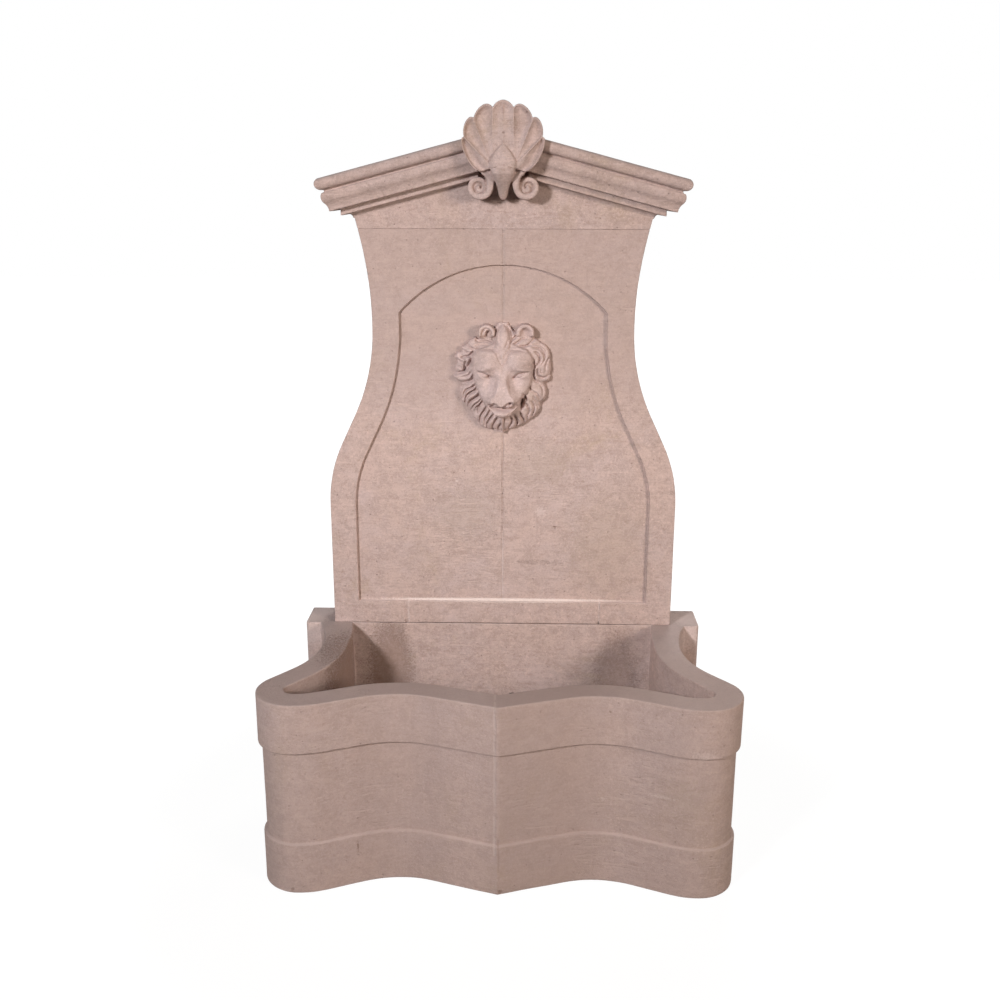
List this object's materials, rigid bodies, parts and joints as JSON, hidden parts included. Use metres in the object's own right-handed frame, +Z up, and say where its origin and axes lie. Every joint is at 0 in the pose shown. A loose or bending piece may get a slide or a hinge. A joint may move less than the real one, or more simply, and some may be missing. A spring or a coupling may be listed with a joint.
{
  "type": "garden wall fountain",
  "caption": "Cast stone wall fountain: serpentine basin, waisted back panel with a lion mask spout, pediment with a scallop shell crest, and a pump hidden in the basin.",
  "frame": {"origin": "on the ground under the middle of the overall box, so on the centre line and half the depth in front of the wall", "axes": "+Z up, +Y towards the wall the fountain stands against, +X to the right as seen from the front"},
  "size_m": [0.86, 0.465, 1.372],
  "materials": {
    "cast_stone": "matt",
    "mask_stone": "matt",
    "stainless_steel": "satin",
    "copper": "dull",
    "brass": "satin",
    "black_rubber": "matt",
    "black_plastic": "matt",
    "grey_plastic": "satin"
  },
  "bodies": {
    "fountain": {"basin": "cast_stone", "back_panel": "cast_stone", "pediment": "cast_stone", "shell_crest": "cast_stone", "lion_mask": "mask_stone", "panel_dowels": "stainless_steel", "pediment_dowels": "stainless_steel", "crest_pin": "stainless_steel", "mask_studs": "stainless_steel", "wall_inserts": "stainless_steel", "lower_elbow": "copper", "upper_elbow": "copper", "riser_pipe": "copper", "spout_tube": "copper", "inlet_pipe": "copper", "spout_washer": "brass", "spout_nut": "brass", "inlet_gland": "brass", "gland_nut": "brass", "gland_seal": "black_rubber", "pipe_clips": "copper", "clip_screws": "stainless_steel", "cable_bung": "black_rubber", "pump_housing": "black_plastic", "pump_cover": "black_plastic", "rotor_shaft": "stainless_steel", "shaft_bushes": "black_rubber", "cover_seal": "black_rubber", "cover_screws": "stainless_steel", "outlet_adapter": "black_plastic", "suction_feet": "black_rubber", "cable_gland": "black_plastic", "pump_elbow": "copper", "pump_riser": "copper", "drain_sleeve": "brass", "drain_seal_ring": "black_rubber", "drain_nut": "brass"},
    "impeller": {"impeller": "grey_plastic"},
    "flow_dial": {"flow_dial": "grey_plastic"},
    "intake_strainer": {"intake_strainer": "grey_plastic"},
    "drain_stopper": {"drain_stopper": "black_rubber"}
  },
  "joints": [
    {"name": "impeller_spin", "type": "hinge", "parent": "fountain", "child": "impeller", "pos_m": [0, 0.0515, 0.1], "axis": [0, -1, 0], "continuous": true},
    {"name": "flow_dial_turn", "type": "hinge", "parent": "fountain", "child": "flow_dial", "pos_m": [0.026, 0.0825, 0.128], "axis": [0, 0, 1], "range_deg": [0, 270]},
    {"name": "strainer_pull", "type": "slide", "parent": "fountain", "child": "intake_strainer", "axis": [0, -1, 0], "range_m": [0, 0.06]},
    {"name": "stopper_lift", "type": "slide", "parent": "fountain", "child": "drain_stopper", "axis": [0, 0, 1], "range_m": [0, 0.12]}
  ]
}
